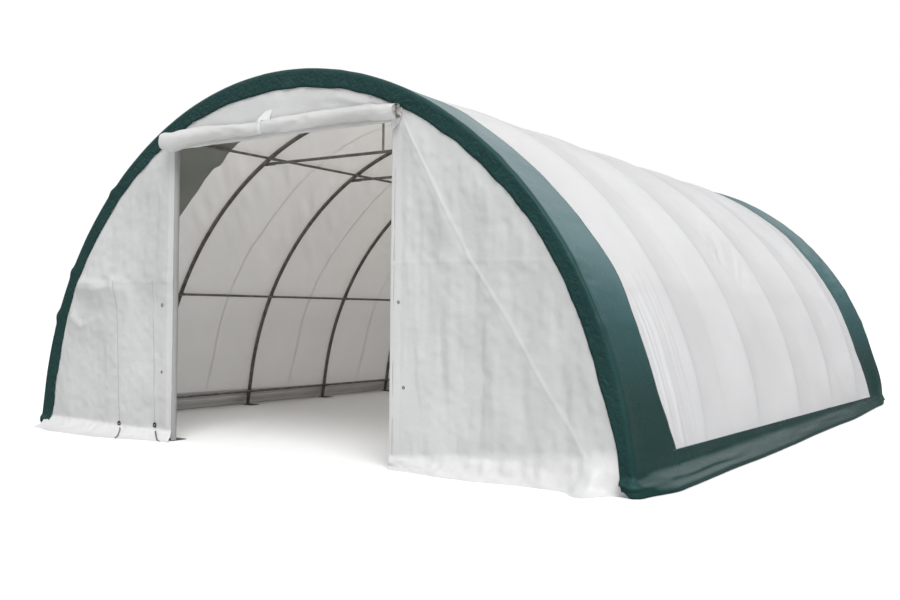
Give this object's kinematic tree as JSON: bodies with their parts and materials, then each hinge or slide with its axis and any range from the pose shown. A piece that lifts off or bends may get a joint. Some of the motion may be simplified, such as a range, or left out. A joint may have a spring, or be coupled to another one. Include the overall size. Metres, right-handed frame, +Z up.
{
  "type": "fabric storage shelter",
  "caption": "Round-topped storage shelter: bent steel tube arches on base plates under a stretched white and green fabric cover, with an open doorway and its door rolled up.",
  "frame": {"origin": "on the ground under the middle of the shelter", "axes": "+Z up, the doorway end faces -Y, +X to the right seen from the front"},
  "size_m": [9.2364, 12.598, 4.5064],
  "materials": {
    "arch_steel": "satin",
    "frame_steel": "satin",
    "clamp_steel": "satin",
    "plate_steel": "matte",
    "white_cover": "satin",
    "green_cover": "glossy",
    "green_edging": "satin",
    "white_wall": "satin",
    "white_skirt": "satin",
    "white_door": "satin",
    "webbing": "matte"
  },
  "bodies": {
    "root": {"left_leg_tubes": "arch_steel", "right_leg_tubes": "arch_steel", "left_side_tubes": "arch_steel", "right_side_tubes": "arch_steel", "left_shoulder_tubes": "arch_steel", "right_shoulder_tubes": "arch_steel", "left_crown_tubes": "arch_steel", "right_crown_tubes": "arch_steel", "base_plates": "plate_steel", "base_rails": "frame_steel", "side_purlins": "frame_steel", "roof_purlins": "frame_steel", "ridge_purlin": "frame_steel", "tube_clamps": "clamp_steel", "collar_ties": "frame_steel", "king_posts": "frame_steel", "front_door_posts": "frame_steel", "front_door_header": "frame_steel", "rear_wall_posts": "frame_steel", "rear_crossbar": "frame_steel", "post_plates": "plate_steel", "left_cover_side": "white_cover", "right_cover_side": "white_cover", "left_cover_shoulder": "white_cover", "right_cover_shoulder": "white_cover", "left_cover_crown": "white_cover", "right_cover_crown": "white_cover", "left_front_band": "green_cover", "right_front_band": "green_cover", "left_rear_band": "green_cover", "right_rear_band": "green_cover", "left_foot_band": "green_cover", "right_foot_band": "green_cover", "front_edging": "green_edging", "rear_edging": "green_edging", "front_wall_left": "white_wall", "front_wall_right": "white_wall", "front_wall_top": "white_wall", "rear_wall": "white_wall", "front_skirts": "white_skirt", "rear_skirt": "white_skirt", "rolled_door": "white_door", "roll_strap": "webbing"}
  },
  "joints": []
}
